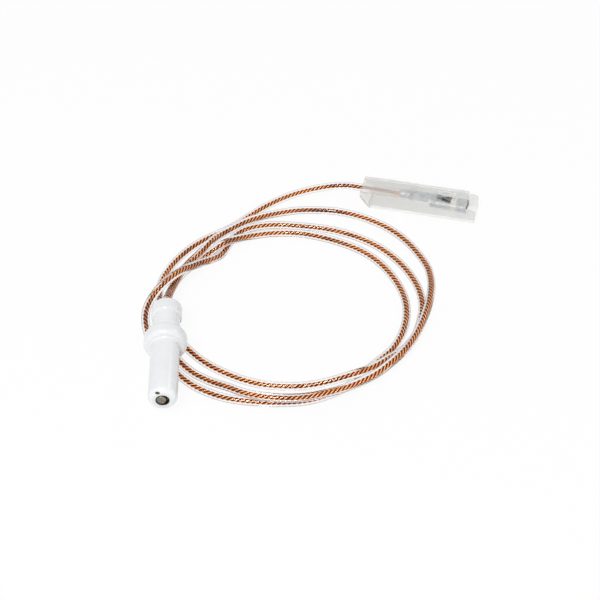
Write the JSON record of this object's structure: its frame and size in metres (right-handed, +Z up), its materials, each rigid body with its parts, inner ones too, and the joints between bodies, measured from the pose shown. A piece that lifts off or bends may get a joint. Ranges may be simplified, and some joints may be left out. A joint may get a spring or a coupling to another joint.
{
  "type": "flame sensor probe",
  "caption": "Glazed ceramic flame sensor electrode with a mounting collar, a clear insulated copper lead lying in loose loops, and a receptacle terminal in a translucent cover.",
  "frame": {"origin": "centre of the collar's front seating face, on the probe axis", "axes": "-Y along the probe axis towards the sensing tip, +Y towards the lead exit, +Z up from the surface the probe lies on"},
  "size_m": [0.0851, 0.0822, 0.0119],
  "materials": {
    "glazed_white": "gloss",
    "electrode_alloy": "satin",
    "splice_nickel": "satin",
    "cement_white": "matte",
    "clear_silicone": "gloss",
    "bare_copper": "satin",
    "tinned_brass": "satin",
    "frosted_cover": "satin"
  },
  "bodies": {
    "probe": {"ceramic_insulator": "glazed_white", "electrode_rod": "electrode_alloy", "splice_sleeve": "splice_nickel", "rear_cement": "cement_white", "lead_exit": "clear_silicone", "lead_coil": "clear_silicone", "lead_run": "clear_silicone", "core_exit": "bare_copper", "core_coil": "bare_copper", "core_run": "bare_copper", "terminal": "tinned_brass"},
    "cover": {"terminal_cover": "frosted_cover"}
  },
  "joints": [
    {"name": "cover_slide", "type": "slide", "parent": "probe", "child": "cover", "axis": [0.9613, -0.2756, 0], "range_m": [0, 0.025]}
  ]
}
